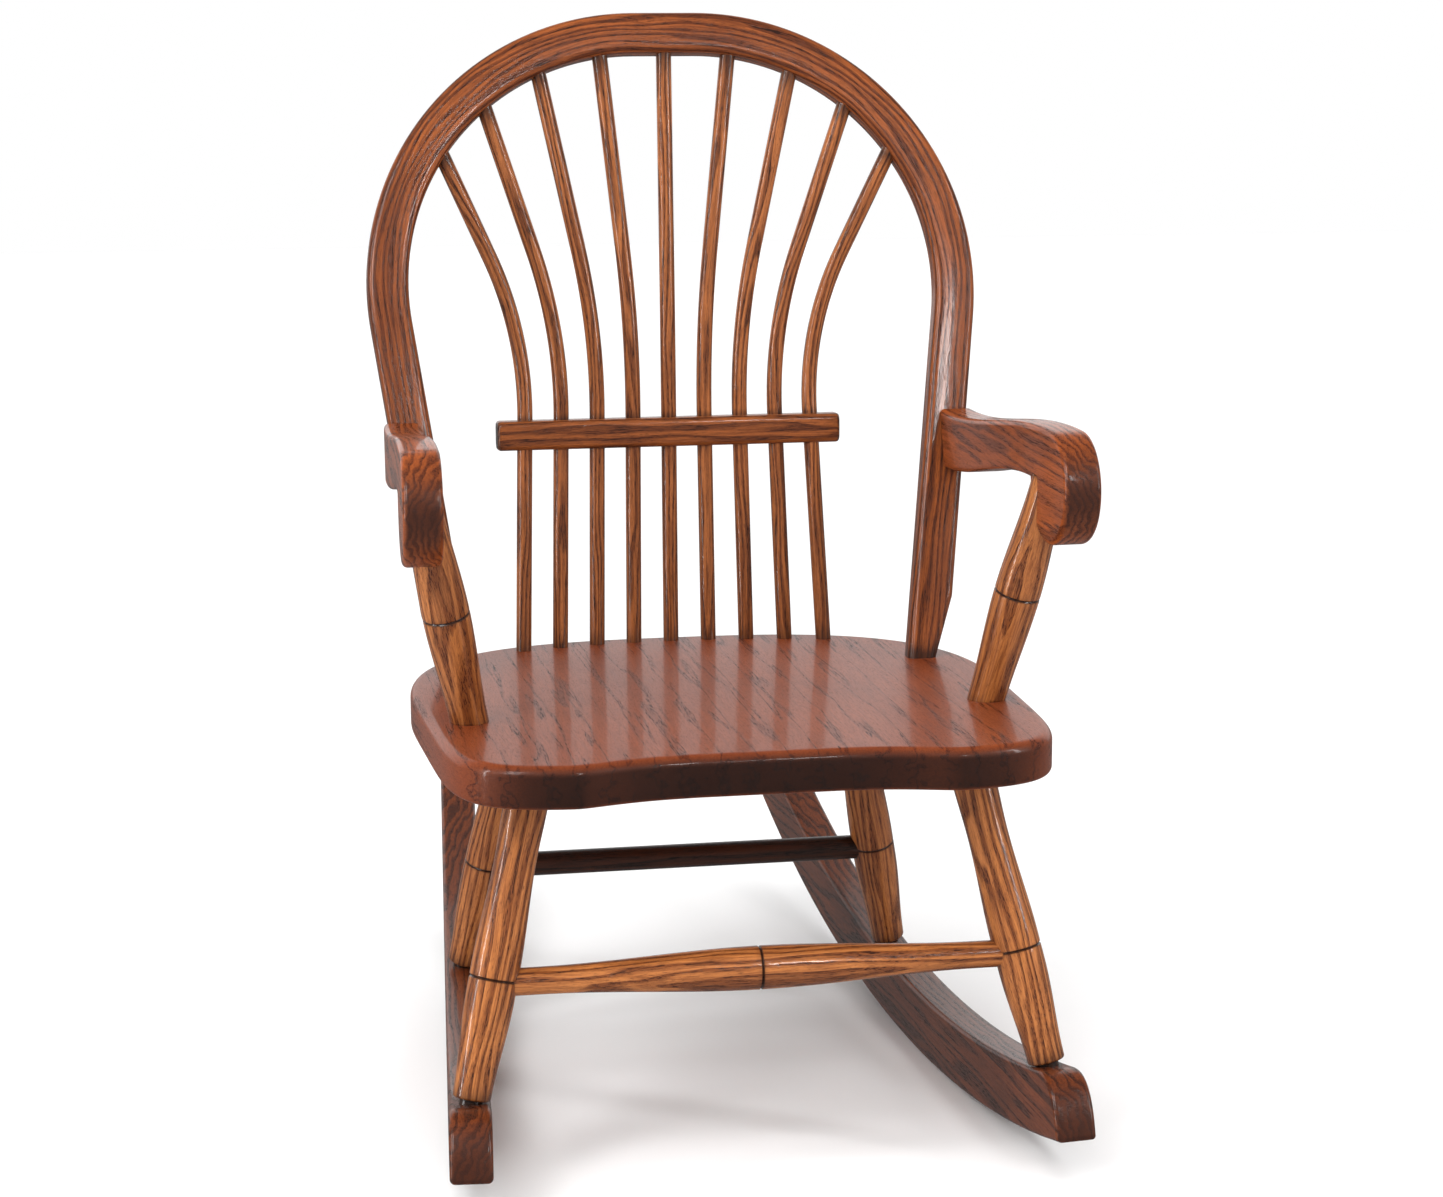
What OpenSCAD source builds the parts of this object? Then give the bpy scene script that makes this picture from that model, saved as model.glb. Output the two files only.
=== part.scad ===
// Child's bow-back rocking chair, built as a joiner builds it: turned legs, posts and
// stretchers in round sockets, bent spindles and a bent bow let into a solid seat.
// Millimetres. The front of the chair faces -Y and +Z is up. Stations along Y are measured
// from the middle of the seat; frame_shift() then moves the chair so that the origin lies
// on the floor under the middle of its outside box.

/* [Seat] */
// Width of the seat at its middle
seat_w = 382; // [344:2:424]
// How far each side of the seat turns inwards towards the front, in degrees
seat_taper = 2.4; // [0:0.2:3]
// From the middle of the seat to its rear edge
seat_rear = 198; // [184:1:234]
// From the middle of the seat to its front corners
seat_front = 182; // [170:1:200]
// Thickness of the seat board
seat_t = 25.5; // [22:0.5:32]
// Height of the seat's top above the floor, at the middle of the seat
seat_h = 270; // [250:1:320]
// How far the seat falls towards the rear, in degrees
seat_tilt = 2.7; // [0:0.1:5]
// Depth of the hollow in the seat's front edge
seat_scoop = 15; // [0:1:25]
// Half the width of that hollow
seat_scoop_half = 128; // [90:1:140]

/* [Bow] */
// Width of the bow stick, seen from the front
bow_w = 27.5; // [24:0.5:32]
// Depth of the bow stick, front to back
bow_d = 18; // [17:0.5:24]
// Distance of each bow foot from the seat's side
bow_foot_inset = 31; // [24:1:47]
// Distance of the bow's feet from the seat's rear edge
bow_foot_ahead = 105; // [98:1:118]
// Lean of the bow towards the rear, in degrees
bow_lean = 17; // [12:0.5:20]
// Outward lean of the bow's straight legs, in degrees
bow_flare = 7.6; // [5:0.1:9]
// Length of the bow's straight legs above the seat
bow_leg = 235; // [200:1:280]
// Roundness of the bow's shoulders: 1 makes its top one half circle
bow_round = 0.892; // [0.8:0.002:0.98]
// Diameter of the round tenon carved under each foot
bow_tenon_d = 16; // [12:0.5:17]
// Height over which the outer edge of each foot narrows to the seat
bow_taper = 42; // [20:1:60]
// How much narrower the bow stick is at the seat
bow_narrow = 8; // [2:0.5:9]

/* [Spindles] */
// Diameter of a spindle
spindle_d = 10.5; // [8:0.5:12]
// Distance between spindles where they enter the seat
spindle_seat_pitch = 26.2; // [22:0.2:30]
// Distance between spindles in the crossbar
spindle_bar_pitch = 24.9; // [18:0.2:28]
// Where the outermost spindles meet the bow, as a share of the way round it from its middle
// down to the end of its shoulder
spindle_fan = 0.604; // [0.5:0.002:0.64]
// Distance of the middle spindle from the seat's rear edge
spindle_inset = 15; // [12:0.5:28]
// Radius of the row of spindles in the seat
spindle_row_r = 345; // [300:5:600]
// Length of a spindle's bend, measured along each of its straight lengths to where they cross
spindle_bend = 58; // [30:1:70]

/* [Crossbar] */
// Length of the crossbar
bar_l = 238; // [216:2:280]
// Height of the crossbar
bar_h = 20; // [14:0.5:26]
// Depth of the crossbar, front to back
bar_d = 17; // [15:0.5:24]
// Height of the crossbar's middle above the seat
bar_rise = 137; // [100:1:170]
// Distance of the crossbar's middle ahead of the seat's rear edge
bar_ahead = 6; // [0:0.5:12]
// Radius on the crossbar's long edges
bar_edge_r = 4; // [1:0.5:6]
// Radius on the crossbar's ends, seen from above
bar_end_r = 3; // [1:0.5:6]

/* [Arms] */
// Thickness of an arm board
arm_t = 23.5; // [20:0.5:28]
// Distance of an arm's middle plane outside the seat's side, at the middle of the seat
arm_out = 1; // [-4:0.5:6]
// Outward splay of an arm towards the front, in degrees
arm_splay = 1.8; // [0:0.1:3]
// Height of the arm's top edge above the seat, where it meets the bow
arm_rise = 157.5; // [150:1:175]
// Height of the arm board where it meets the bow
arm_rear_h = 38.5; // [32:1:44]
// Radius of the scroll at the arm's front
scroll_r = 34.8; // [30:0.5:40]
// Distance of the scroll's centre behind the seat's front corners
scroll_behind = 81; // [72:1:92]
// Height of the scroll's centre above the seat
scroll_rise = 147; // [138:0.5:158]

/* [Arm posts] */
// Distance of each post from the seat's side
post_inset = 27.6; // [24:0.5:36]
// Distance of the posts behind the seat's front corners
post_behind = 134; // [122:1:142]
// How far a post's head stands inwards of the middle of its arm
post_head_in = 2.4; // [0:0.2:4]
// Diameter of a post at the seat
post_foot_d = 23.6; // [20:0.2:26]
// Diameter of a post at its scored ring
post_ring_d = 29; // [24:0.5:32]
// Diameter of a post under the arm
post_top_d = 22.8; // [18:0.2:26]
// Height of the scored ring along the post
post_ring = 74; // [60:1:90]

/* [Legs] */
// Distance of the front legs' tops behind the seat's front corners
front_top_behind = 66; // [54:1:76]
// Distance of the front legs' tops from the seat's side
front_top_inset = 56; // [46:1:66]
// Slope of the front legs: how far their feet stand ahead of their tops
front_rake = 42; // [24:1:48]
// Distance of the rear legs' tops ahead of the seat's rear edge
rear_top_ahead = 78; // [64:1:94]
// Distance of the rear legs' tops from the seat's side
rear_top_inset = 79; // [72:1:92]
// Slope of the rear legs: how far their feet stand behind their tops
rear_rake = 30; // [15:1:45]
// Diameter of a leg under the seat
leg_top_d = 27.6; // [24:0.2:32]
// Diameter of a leg at its waist
leg_waist_d = 25; // [22:0.2:30]
// Diameter of a leg at its scored ring
leg_ring_d = 29.4; // [26:0.2:36]
// Diameter of a leg at its foot
leg_foot_d = 23; // [20:0.2:26]
// Diameter of the tenon at a leg's top
leg_tenon_d = 19; // [14:0.5:20]
// Diameter of the tenon at a leg's foot
foot_tenon_d = 14; // [10:0.5:14]
// How far a foot stands inwards of its rocker's middle line
foot_inset = 1; // [0:0.5:3]
// Length of foot tenon that shows between a leg and its rocker
foot_gap = 3; // [2:0.5:5]
// Height of a leg's scored ring above the middle of its stretcher, along the leg
ring_rise = 3; // [0:0.5:6]

/* [Stretchers] */
// Height of the front stretcher above the floor
front_stretcher_z = 137; // [120:1:150]
// Height of the rear stretcher above the floor
rear_stretcher_z = 118; // [100:1:130]
// Diameter of the front stretcher at its middle
stretcher_mid_d = 26.4; // [20:0.2:30]
// Diameter of both stretchers where they enter the legs
stretcher_end_d = 16.5; // [12:0.5:18]
// Depth of a stretcher's socket in a leg, past the leg's middle line
stretcher_past = 2; // [0:0.5:5]

/* [Rockers] */
// Radius of a rocker's lower edge
rocker_r = 1015; // [850:5:1200]
// Height of a rocker, across its curve
rocker_h = 41; // [32:1:46]
// Thickness of a rocker
rocker_t = 25.5; // [22:0.5:30]
// Distance of a rocker's middle plane inside the seat's side, at the middle of the seat
rocker_in = 27; // [21:1:32]
// Station of the lowest point behind the middle of the seat
rocker_low_y = 71; // [50:1:90]
// How far a rocker runs ahead of the seat's front corners
rocker_ahead = 28; // [20:1:50]
// How far a rocker runs behind the seat's rear edge
rocker_behind = 257; // [200:1:300]
// How far the chair rolls forward on its rockers until it stands at rest, in degrees
rest_roll = 1.9; // [0:0.1:4]
// How far each rocker turns inwards towards the rear, in degrees
rocker_toe = 4.8; // [0:0.1:6]
// Length of a rocker's rounded end
rocker_round = 30; // [15:1:45]

/* [Joinery] */
// Glue line left round every tenon
glue_gap = 0.1; // [0.05:0.05:0.3]
// Depth of the sockets in the seat
seat_socket = 16; // [12:0.5:18]
// Depth of the spindles' sockets in the bow
bow_socket = 14; // [10:0.5:17]
// Depth of the posts' sockets in the arms
arm_socket = 22; // [14:1:26]
// Diameter of the posts' upper tenons
post_tenon_d = 13; // [10:0.5:15]
// Diameter of the posts' lower tenons
post_foot_tenon_d = 16; // [12:0.5:17]
// Depth of the legs' sockets in the rockers
rocker_socket = 14; // [10:1:16]
// Depth of a scored ring
ring_depth = 0.9; // [0.4:0.1:1.5]
// Width of a scored ring
ring_w = 1.8; // [1:0.2:3]

/* [Screws] */
// Diameter of an arm screw's shank
screw_d = 4.6; // [3.5:0.1:5]
// Length of an arm screw
screw_l = 42; // [34:1:50]
// Diameter of an arm screw's head
screw_head_d = 9; // [7:0.5:10]
// Diameter of the wooden plug over a screw
plug_d = 10; // [9.5:0.5:12]
// Length of that plug
plug_l = 5; // [3:0.5:6]

/* [Hidden] */

$fn = 96;
LEFT = -1;
RIGHT = 1;
FRONT = -1;
REAR = 1;
spindles = 9;
middle_spindle = 5;
outline_steps = 96;
turning_steps = 30;
curve_steps = 12;
seat_rear_power = 2.8;
seat_front_power = 6.5;
scoop_power = 4;
end_power = 2.6;
past = 1;
bend_scrape = 0.1;
post_head_behind = 0.72;
post_head_under = 0.12;
screw_down_arm = 0.55;
ring_swell_from = 0.86;
ring_swell_to = 1.08;
waist_up_leg = 0.62;
stretcher_shoulder = 14;
slot_w = 1.2;
slot_l = 6;
slot_depth = 1.6;

// Stations across and along the chair, measured from the middle of the seat
bow_foot_x = seat_w / 2 - bow_foot_inset;
bow_foot_y = seat_rear - bow_foot_ahead;
bar_y = seat_rear - bar_ahead;
bar_z = seat_h + bar_rise;
arm_x = seat_w / 2 + arm_out;
arm_rear_z = seat_h + arm_rise;
scroll_y = seat_front - scroll_behind;
scroll_z = seat_h + scroll_rise;
post_x = seat_w / 2 - post_inset;
post_y = seat_front - post_behind;
front_top_x = seat_w / 2 - front_top_inset;
front_top_y = seat_front - front_top_behind;
front_foot_y = front_top_y + front_rake;
rear_top_x = seat_w / 2 - rear_top_inset;
rear_top_y = seat_rear - rear_top_ahead;
rear_foot_y = rear_top_y + rear_rake;
rocker_x = seat_w / 2 - rocker_in;
rocker_front = seat_front + rocker_ahead;
rocker_rear = seat_rear + rocker_behind;

// Places on the seat
seat_top_rise = -tan(seat_tilt);
function seat_top(y) = seat_h + seat_top_rise * y;
function seat_under(y) = seat_top(y) - seat_t / cos(seat_tilt);

// Places on the bow, whose own axes are x and s, the distance up its leaning plane
bow_foot_z = seat_top(bow_foot_y);
bow_up = [0, sin(bow_lean), cos(bow_lean)];
bow_back = [0, cos(bow_lean), -sin(bow_lean)];
function bow_point(x, s) = [x, bow_foot_y, bow_foot_z] + s * bow_up;
bow_r = bow_round * (bow_foot_x + bow_leg * sin(bow_flare)) / cos(bow_flare);
shoulder_x = bow_foot_x + bow_leg * sin(bow_flare) - bow_r * cos(bow_flare);
shoulder_s = bow_leg * cos(bow_flare) + bow_r * sin(bow_flare);
bow_inner_r = bow_r - bow_w / 2;
spindle_bow_pitch = spindle_fan / (middle_spindle - 1)
    * (shoulder_x + bow_inner_r * (90 + bow_flare) * PI / 180);
// Point on the bow's inner edge, at distance a from the middle along that edge
function bow_inner(a) =
    a < shoulder_x
    ? bow_point(a, shoulder_s + bow_inner_r)
    : let (turn = (a - shoulder_x) / bow_inner_r * 180 / PI)
      bow_point(shoulder_x + bow_inner_r * sin(turn), shoulder_s + bow_inner_r * cos(turn));
// Station of the bow's middle plane, front face and x at height z
function bow_y(z) = bow_foot_y + (z - bow_foot_z) * tan(bow_lean);
function bow_front_y(z) = bow_y(z) - bow_d / 2 / cos(bow_lean);
function bow_x(z) = bow_foot_x + (z - bow_foot_z) / cos(bow_lean) * tan(bow_flare);

// Spindles: straight from the seat through the crossbar, then an arc, then straight to the bow
function spindle_place(i) = i - middle_spindle;
function spindle_side(i) = spindle_place(i) < 0 ? LEFT : RIGHT;
function unit(v) = v / norm(v);
function spindle_foot(i) =
    let (
        x = spindle_place(i) * spindle_seat_pitch,
        y = seat_rear - spindle_inset - spindle_row_r + sqrt(pow(spindle_row_r, 2) - x * x)
    )
    [x, y, seat_top(y)];
function spindle_in_bar(i) = [spindle_place(i) * spindle_bar_pitch, bar_y, bar_z];
function spindle_up(i) = unit(spindle_in_bar(i) - spindle_foot(i));
bar_clear = bar_h / 2 + past;
bar_lean = atan2(spindle_up(middle_spindle)[1], spindle_up(middle_spindle)[2]);
function bend_start(i) = spindle_in_bar(i) + bar_clear * spindle_up(i);
function spindle_tip(i) =
    let (p = bow_inner(abs(spindle_place(i)) * spindle_bow_pitch))
    [spindle_side(i) * p[0], p[1], p[2]];
// The two straight lengths cross at the corner, and the arc joins them without a kink
function bend_corner(i) = bend_start(i) + spindle_bend * spindle_up(i);
function tip_dir(i) = unit(spindle_tip(i) - bend_corner(i));
function bend_end(i) = bend_corner(i) + spindle_bend * tip_dir(i);
function arc_turn(i) = acos(tip_dir(i) * spindle_up(i));
function arc_r(i) = spindle_bend / tan(arc_turn(i) / 2);
// Direction from the start of the arc to its centre
function arc_inward(i) = unit(tip_dir(i) - (tip_dir(i) * spindle_up(i)) * spindle_up(i));

// Rockers: side view in y and z, then turned by the toe
function rocker_low_edge(y) = rocker_r - sqrt(pow(rocker_r, 2) - pow(y - rocker_low_y, 2));
function rocker_top_edge(y) =
    rocker_r - sqrt(pow(rocker_r - rocker_h, 2) - pow(y - rocker_low_y, 2));
function rocker_mid_x(y) = rocker_x - tan(rocker_toe) * y;

// The chair rolls about the centre of the rockers' curve, which stays above the floor
roll_y = rocker_low_y * cos(rocker_toe);
toe_corner = rocker_t / 2 * sin(rocker_toe);
// Station of a point of the side view once the chair has rolled
function rolled_y(y, z) = roll_y + (y - roll_y) * cos(rest_roll) - (z - rocker_r) * sin(rest_roll);
front_end_y =
    rolled_y(-rocker_front * cos(rocker_toe) - toe_corner, rocker_low_edge(-rocker_front));
rear_end_y = rolled_y(rocker_rear * cos(rocker_toe) + toe_corner, rocker_low_edge(rocker_rear));
mid_y = (front_end_y + rear_end_y) / 2;

// Ends of the legs' turned lengths, on the middle line
function leg_foot(row) =
    let (y = row == FRONT ? -front_foot_y : rear_foot_y)
    [rocker_mid_x(y) - foot_inset, y, rocker_top_edge(y) + foot_gap];
function leg_top(row) =
    let (y = row == FRONT ? -front_top_y : rear_top_y)
    [row == FRONT ? front_top_x : rear_top_x, y, seat_under(y)];
function stretcher_z(row) = row == FRONT ? front_stretcher_z : rear_stretcher_z;
function along(a, b, z) = a + (b - a) * (z - a[2]) / (b[2] - a[2]);
function leg_ring_point(row) = along(leg_foot(row), leg_top(row), stretcher_z(row));

// Arm posts run from the seat into the rear of the scroll, where the arm's underside meets it
post_foot = [post_x, -post_y, seat_top(-post_y)];
function arm_mid_x(y) = arm_x - tan(arm_splay) * y;
post_head_y = -scroll_y + post_head_behind * scroll_r;
post_head =
    [arm_mid_x(post_head_y) - post_head_in, post_head_y, scroll_z - post_head_under * scroll_r];

// Arms
arm_rear_y = bow_front_y(arm_rear_z);
arm_under_y = bow_front_y(arm_rear_z - arm_rear_h);
screw_z = arm_rear_z - arm_rear_h * screw_down_arm;
screw_entry = [bow_x(screw_z), bow_y(screw_z), screw_z] + bow_d / 2 * bow_back;
screw_head_l = (screw_head_d - screw_d) / 2;

// ---- helpers ----

// Rolls the chair to rest and stands it over the origin
module frame_shift() {
    translate([0, roll_y - mid_y, rocker_r])
        rotate([rest_roll, 0, 0])
            translate([0, -roll_y, -rocker_r]) children();
}

// Turns +Z to point along v
module aim(v) {
    rotate([0, acos(v[2] / norm(v)), atan2(v[1], v[0])]) children();
}

module rod(a, b, d) {
    translate(a) aim(b - a) cylinder(d = d, h = norm(b - a));
}

module sided(side) {
    if (side == LEFT) mirror([1, 0, 0]) children();
    else children();
}

function ease(t) = (1 - cos(180 * t)) / 2;

// Radius at height s of a turning whose stations are [height, diameter]
function turned_r(stations, height) =
    let (s = min(height, stations[len(stations) - 1][0]))
    let (k = [for (j = [0:len(stations) - 2]) if (s <= stations[j + 1][0]) j][0])
    let (t = (s - stations[k][0]) / (stations[k + 1][0] - stations[k][0]))
    (stations[k][1] + (stations[k + 1][1] - stations[k][1]) * ease(t)) / 2;

function turned_side(stations, from, to) = [
    for (j = [0:turning_steps])
    let (s = from + (to - from) * j / turning_steps)
    [turned_r(stations, s), s]
];

// A turning along +Z with one scored ring
module turning(stations, ring) {
    last = stations[len(stations) - 1][0];
    rotate_extrude()
        polygon(concat(
            [[0, 0]],
            turned_side(stations, 0, ring - ring_w / 2),
            [[turned_r(stations, ring) - ring_depth, ring]],
            turned_side(stations, ring + ring_w / 2, last),
            [[0, last]]
        ));
}

module rounded_rect(w, h, r) {
    square([w - 2 * r, h], center = true);
    square([w, h - 2 * r], center = true);
    for (x = [-1, 1], y = [-1, 1])
        translate([x * (w / 2 - r), y * (h / 2 - r)]) circle(r = r);
}

// ---- seat ----

function power_curve(a, b, power, angle) = [
    a * sign(cos(angle)) * pow(abs(cos(angle)), 2 / power),
    b * sign(sin(angle)) * pow(abs(sin(angle)), 2 / power)
];

function scoop(x) =
    abs(x) < seat_scoop_half
    ? seat_scoop * pow(1 - pow(abs(x) / seat_scoop_half, scoop_power), 2)
    : 0;

function seat_outline() = [
    for (j = [0:outline_steps - 1])
    let (angle = 360 * (j + 0.5) / outline_steps)
    let (rear = angle < 180)
    let (p = rear ? power_curve(seat_w / 2, seat_rear, seat_rear_power, angle)
                  : power_curve(seat_w / 2, seat_front, seat_front_power, angle))
    let (y = rear ? p[1] : max(p[1], -seat_front + scoop(p[0])))
    [p[0] * (1 + tan(seat_taper) * y / (seat_w / 2)), y]
];

// The seat's own frame: its top is z = 0 and leans with the seat
module seat_frame() {
    translate([0, 0, seat_h]) rotate([-seat_tilt, 0, 0]) children();
}

// Everything level with the seat board, with a glue line on top
module seat_slab() {
    seat_frame()
        translate([0, 0, glue_gap - seat_t]) linear_extrude(seat_t) square(2 * seat_w, center = true);
}

module seat() {
    color("#8a4b26")
        frame_shift()
            difference() {
                seat_frame()
                    translate([0, 0, -seat_t]) linear_extrude(seat_t) polygon(seat_outline());
                for (side = [LEFT, RIGHT]) sided(side) {
                    for (row = [FRONT, REAR]) leg_tenon(row, glue_gap);
                    post_tenon(glue_gap);
                    bow_tenon(glue_gap);
                }
                for (i = [1:spindles]) spindle_straight(i, glue_gap);
            }
}

// ---- bow ----

// The bow's plane: x stays, the second axis is s, the third points forwards
module bow_plane() {
    translate([0, bow_foot_y, bow_foot_z]) rotate([90 - bow_lean, 0, 0]) children();
}

// The tenon stands under the middle of the narrowed foot
module bow_tenon(gap) {
    up = sin(bow_flare) * [1, 0, 0] + cos(bow_flare) * bow_up;
    across = cos(bow_flare) * [1, 0, 0] - sin(bow_flare) * bow_up;
    foot = bow_point(bow_foot_x, 0) - bow_narrow / 2 * across;
    rod(foot - (seat_socket + gap) * up, foot + bow_d / 2 * up, bow_tenon_d + 2 * gap);
}

// Everything inside an offset of the bow's middle line by w, from low along its legs
module bow_inside(w, low) {
    out = [cos(bow_flare), -sin(bow_flare)];
    up = [sin(bow_flare), cos(bow_flare)];
    foot = [bow_foot_x, 0] + low * up + w * out;
    shoulder = [shoulder_x, shoulder_s] + (bow_r + w) * out;
    for (side = [LEFT, RIGHT])
        translate([side * shoulder_x, shoulder_s]) circle(r = bow_r + w, $fn = 360);
    translate([-shoulder_x, shoulder_s]) square([2 * shoulder_x, bow_r + w]);
    polygon([
        foot, shoulder, [shoulder_x, shoulder_s],
        [-shoulder_x, shoulder_s], [-shoulder[0], shoulder[1]], [-foot[0], foot[1]]
    ]);
}

// What is carved off the outer edge of each foot
module bow_foot_carving() {
    reach = bow_w;
    slope = bow_narrow / bow_taper;
    for (side = [LEFT, RIGHT])
        sided(side)
            translate([bow_foot_x, 0])
                rotate(-bow_flare)
                    polygon([
                        [bow_w / 2, bow_taper],
                        [bow_w / 2 - slope * (bow_taper + reach), -reach],
                        [bow_w, -reach],
                        [bow_w, bow_taper]
                    ]);
}

module bow() {
    color("#7c4020")
        frame_shift()
            difference() {
                union() {
                    difference() {
                        bow_plane()
                            linear_extrude(bow_d, center = true)
                                difference() {
                                    bow_inside(bow_w / 2, -bow_d / 2);
                                    bow_inside(-bow_w / 2, -bow_w);
                                    bow_foot_carving();
                                }
                        seat_slab();
                    }
                    for (side = [LEFT, RIGHT]) sided(side) bow_tenon(0);
                }
                for (i = [1:spindles]) spindle_upper(i, glue_gap);
                for (side = [LEFT, RIGHT]) sided(side) {
                    arm_screw(glue_gap);
                    screw_plug(glue_gap);
                }
            }
}

// ---- spindles and crossbar ----

module spindle_straight(i, gap) {
    rod(spindle_foot(i) - (seat_socket + gap) * spindle_up(i), bend_start(i),
        spindle_d + 2 * gap);
}

// With no gap, the whole straight length from the arc; with a gap, its socket in the bow
module spindle_upper(i, gap) {
    from = gap > 0 ? spindle_tip(i) - spindle_d * tip_dir(i) : bend_end(i) - past * tip_dir(i);
    rod(from, spindle_tip(i) + (bow_socket + gap) * tip_dir(i),
        (gap > 0 ? spindle_d : spindle_d - 2 * bend_scrape) + 2 * gap);
}

module spindle_arc(i) {
    inward = arc_inward(i);
    up = spindle_up(i);
    side = cross(inward, up);
    start = bend_start(i);
    lap = past / arc_r(i) * 180 / PI;
    // the arc is drawn round the origin in its own plane, ending at -X where it meets the foot
    multmatrix([
        [inward[0], up[0], side[0], start[0]],
        [inward[1], up[1], side[1], start[1]],
        [inward[2], up[2], side[2], start[2]]
    ])
        translate([arc_r(i), 0, 0])
            rotate([0, 0, 180 - arc_turn(i)])
                rotate_extrude(angle = arc_turn(i) + lap)
                    translate([arc_r(i), 0]) circle(d = spindle_d - bend_scrape);
}

module spindle(i) {
    color("#8f5227")
        frame_shift() {
            spindle_straight(i, 0);
            spindle_arc(i);
            spindle_upper(i, 0);
        }
}

module crossbar() {
    color("#9a5a2c")
        frame_shift()
            difference() {
                translate([0, bar_y, bar_z])
                    rotate([-bar_lean, 0, 0])
                        intersection() {
                            rotate([0, 90, 0])
                                linear_extrude(bar_l, center = true)
                                    rounded_rect(bar_h, bar_d, bar_edge_r);
                            // ends rounded in plan
                            linear_extrude(2 * bar_h, center = true)
                                rounded_rect(bar_l, bar_d + past, bar_end_r);
                        }
                for (i = [1:spindles]) spindle_straight(i, glue_gap);
            }
}

// ---- arms and posts ----

function arm_top_z(y) =
    let (t = (arm_rear_y - y) / (arm_rear_y + scroll_y))
    arm_rear_z + (scroll_z + scroll_r - arm_rear_z) * ease(t);
function arm_under_z(y) =
    let (t = min(1, (arm_rear_y - y) / (arm_rear_y + scroll_y - scroll_r)))
    arm_rear_z - arm_rear_h + (scroll_z - arm_rear_z + arm_rear_h) * ease(t);

function arm_side_outline() = concat(
    [
        for (j = [0:curve_steps])
        let (y = arm_rear_y - (arm_rear_y + scroll_y) * j / curve_steps)
        [y, arm_top_z(y)]
    ],
    [[-scroll_y, scroll_z]],
    [
        for (j = [curve_steps:-1:1])
        let (y = arm_under_y - (arm_under_y + scroll_y - scroll_r) * j / curve_steps)
        [y, arm_under_z(y)]
    ],
    [[arm_under_y, arm_rear_z - arm_rear_h]]
);

// The arm's middle plane: side view in y and z, splayed outwards towards the front
module arm_plane() {
    translate([arm_x, 0, 0]) rotate([0, 0, arm_splay]) rotate([90, 0, 90]) children();
}

module arm(side) {
    color("#834522")
        frame_shift()
            sided(side)
                difference() {
                    arm_plane()
                        linear_extrude(arm_t, center = true) {
                            polygon(arm_side_outline());
                            translate([-scroll_y, scroll_z]) circle(r = scroll_r);
                        }
                    // cut to the bow's leaning front face
                    bow_plane()
                        translate([0, 0, bow_d / 2 + glue_gap - seat_w])
                            linear_extrude(seat_w) square([3 * seat_w, 3 * seat_w], center = true);
                    post_head_tenon(glue_gap);
                    arm_screw(glue_gap);
                }
}

module post_tenon(gap) {
    up = (post_head - post_foot) / norm(post_head - post_foot);
    rod(post_foot - (seat_socket + gap) * up, post_foot + seat_t * up, post_foot_tenon_d + 2 * gap);
}

module post_head_tenon(gap) {
    up = (post_head - post_foot) / norm(post_head - post_foot);
    rod(post_head - scroll_r * up, post_head + (arm_socket - scroll_r / 2 + gap) * up,
        post_tenon_d + 2 * gap);
}

module arm_post(side) {
    length = norm(post_head - post_foot);
    stations = [
        [0, post_foot_d],
        [post_ring, post_ring_d],
        [length, post_top_d]
    ];
    color("#9c5f30")
        frame_shift()
            sided(side) {
                difference() {
                    translate(post_foot) aim(post_head - post_foot) turning(stations, post_ring);
                    // shoulder fitted round the scroll, and foot fitted to the seat
                    arm_plane()
                        translate([-scroll_y, scroll_z])
                            cylinder(r = scroll_r + glue_gap, h = 4 * arm_t, center = true);
                    seat_slab();
                }
                post_head_tenon(0);
                post_tenon(0);
            }
}

// ---- legs, stretchers and rockers ----

module leg_tenon(row, gap) {
    top = leg_top(row);
    up = (top - leg_foot(row)) / norm(top - leg_foot(row));
    rod(top - leg_top_d / 2 * up, top + (seat_socket + gap) * up, leg_tenon_d + 2 * gap);
}

module foot_tenon(row, gap) {
    foot = leg_foot(row);
    up = (leg_top(row) - foot) / norm(leg_top(row) - foot);
    rod(foot - (foot_gap + rocker_socket + gap) * up, foot + past * up, foot_tenon_d + 2 * gap);
}

module stretcher_tenon(row, gap) {
    p = leg_ring_point(row);
    translate([p[0] - leg_ring_d, p[1], p[2]])
        rotate([0, 90, 0])
            cylinder(d = stretcher_end_d + 2 * gap, h = leg_ring_d + stretcher_past + gap);
}

module leg(row, side) {
    foot = leg_foot(row);
    top = leg_top(row);
    up = (top - foot) / norm(top - foot);
    length = norm(top - foot);
    ring = norm(leg_ring_point(row) - foot) + ring_rise;
    waist = ring + (length - ring) * waist_up_leg;
    stations = [
        [0, leg_foot_d],
        [ring * ring_swell_from, leg_ring_d],
        [ring * ring_swell_to, leg_ring_d],
        [waist, leg_waist_d],
        [length + leg_top_d / 2, leg_top_d]
    ];
    color("#96582b")
        frame_shift()
            sided(side) {
                difference() {
                    translate(foot) aim(up) turning(stations, ring);
                    seat_frame()
                        translate([0, 0, -seat_t - glue_gap])
                            linear_extrude(2 * seat_t) square(2 * seat_w, center = true);
                    stretcher_tenon(row, glue_gap);
                }
                leg_tenon(row, 0);
                foot_tenon(row, 0);
            }
}

module front_stretcher() {
    p = leg_ring_point(FRONT);
    half = p[0] + stretcher_past;
    straight = leg_ring_d / 2 + stretcher_shoulder;
    stations = [
        [0, stretcher_end_d],
        [straight, stretcher_end_d],
        [half, stretcher_mid_d],
        [2 * half - straight, stretcher_end_d],
        [2 * half, stretcher_end_d]
    ];
    color("#9a5d2e")
        frame_shift()
            translate([-half, p[1], p[2]]) rotate([0, 90, 0]) turning(stations, half);
}

module rear_stretcher() {
    p = leg_ring_point(REAR);
    half = p[0] + stretcher_past;
    color("#6a3a1d")
        frame_shift() rod([-half, p[1], p[2]], [half, p[1], p[2]], stretcher_end_d);
}

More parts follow.
